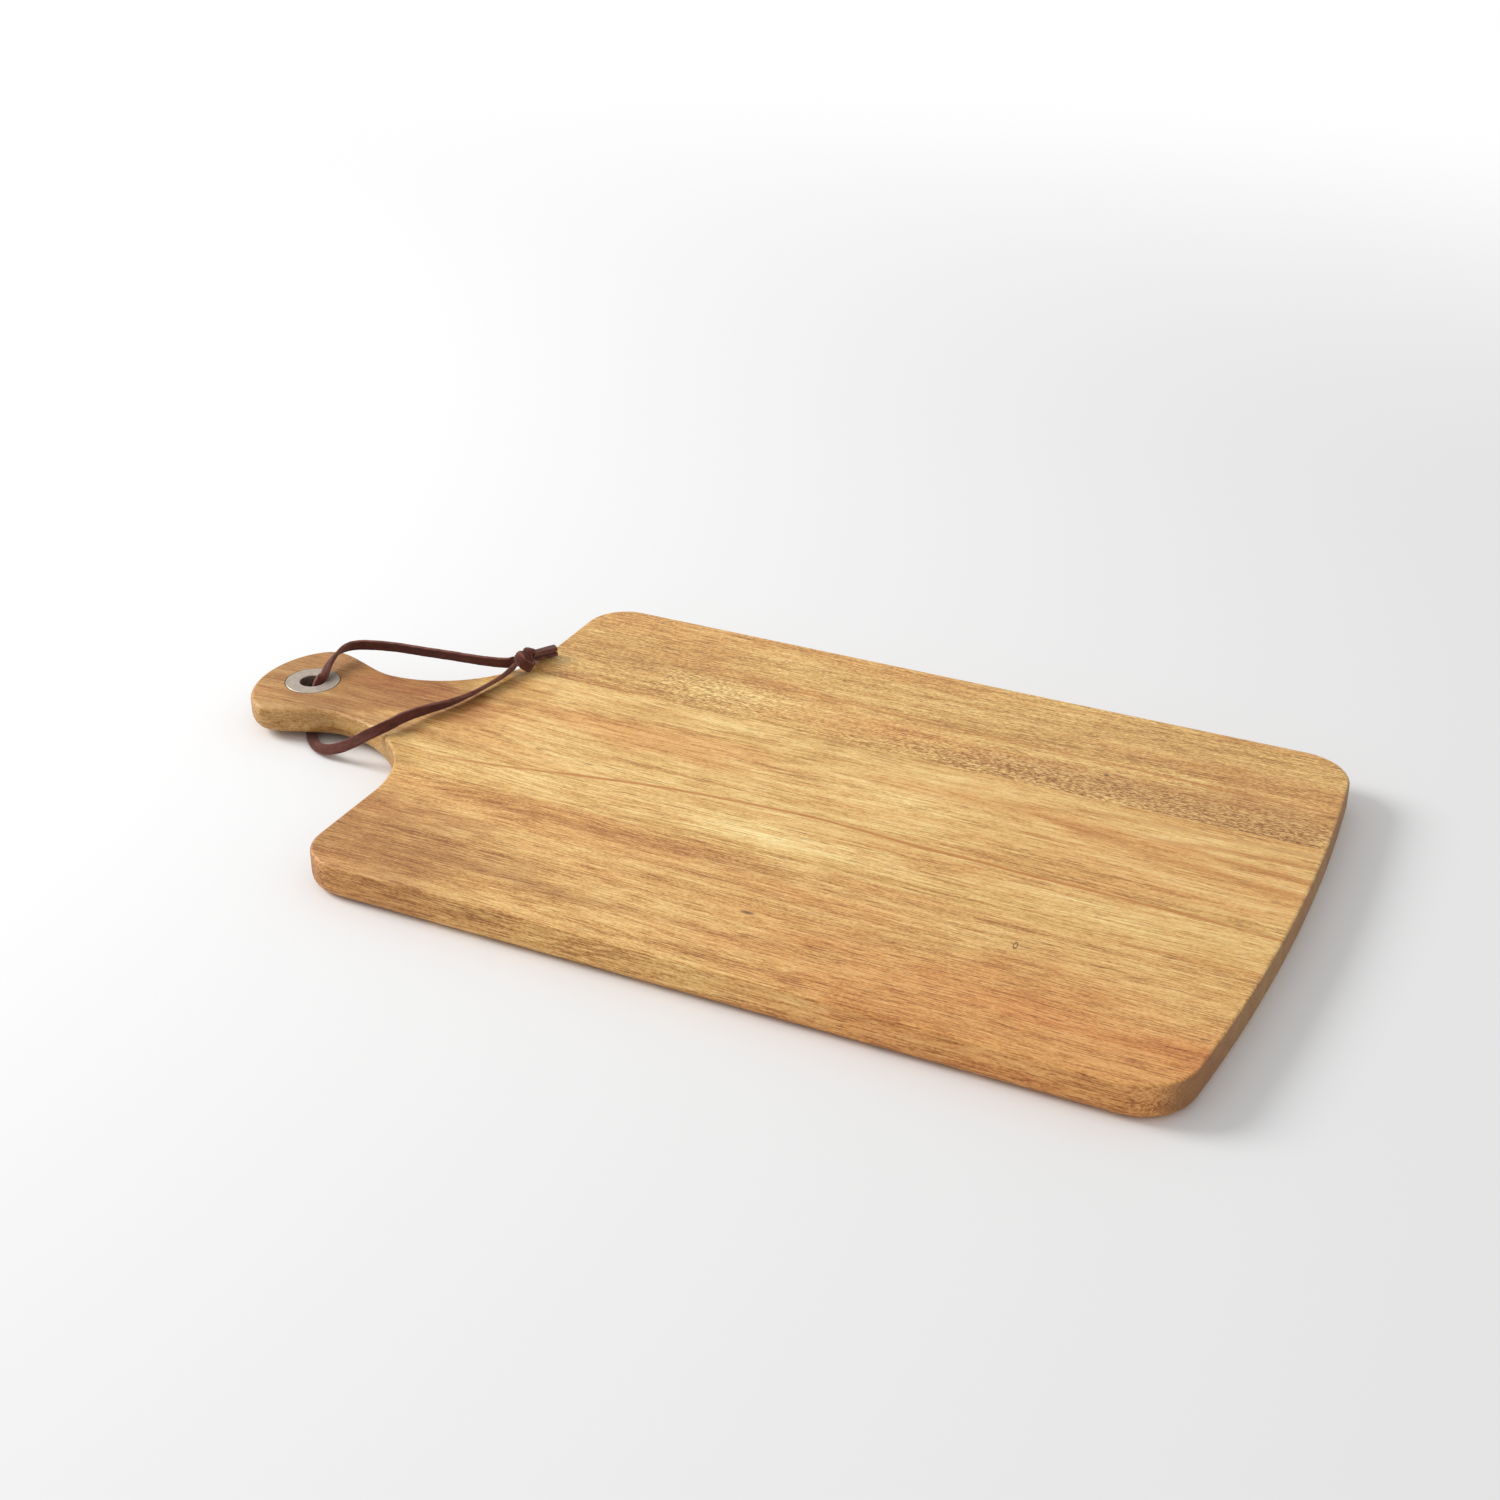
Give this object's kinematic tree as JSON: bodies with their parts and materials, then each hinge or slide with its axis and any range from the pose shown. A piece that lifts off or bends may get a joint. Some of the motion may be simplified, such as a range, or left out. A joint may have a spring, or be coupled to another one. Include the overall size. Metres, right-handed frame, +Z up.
{
  "type": "serving board",
  "caption": "Paddle-shaped wooden serving board of edge-glued staves, with a rounded handle, a metal eyelet and a knotted flat leather hanging lace.",
  "frame": {"origin": "middle of the board's length and width, on the surface that it rests on", "axes": "+X from the handle to the far end of the blade, +Y across the board, +Z up out of the serving face"},
  "size_m": [0.373, 0.204, 0.0219],
  "materials": {
    "stave_far_wood": "oiled, ribbon-figured",
    "stave_middle_wood": "oiled, plain and arched grain",
    "stave_near_wood": "oiled, darker plain grain",
    "eyelet_metal": "satin",
    "lace_leather": "suede, dark red-brown"
  },
  "bodies": {
    "root": {"stave_far": "stave_far_wood", "stave_middle": "stave_middle_wood", "stave_near": "stave_near_wood", "eyelet_front": "eyelet_metal", "eyelet_back": "eyelet_metal", "lace_upper_strand": "lace_leather", "lace_lower_strand": "lace_leather", "lace_knot": "lace_leather", "lace_tail_upper": "lace_leather", "lace_tail_lower": "lace_leather"}
  },
  "joints": []
}
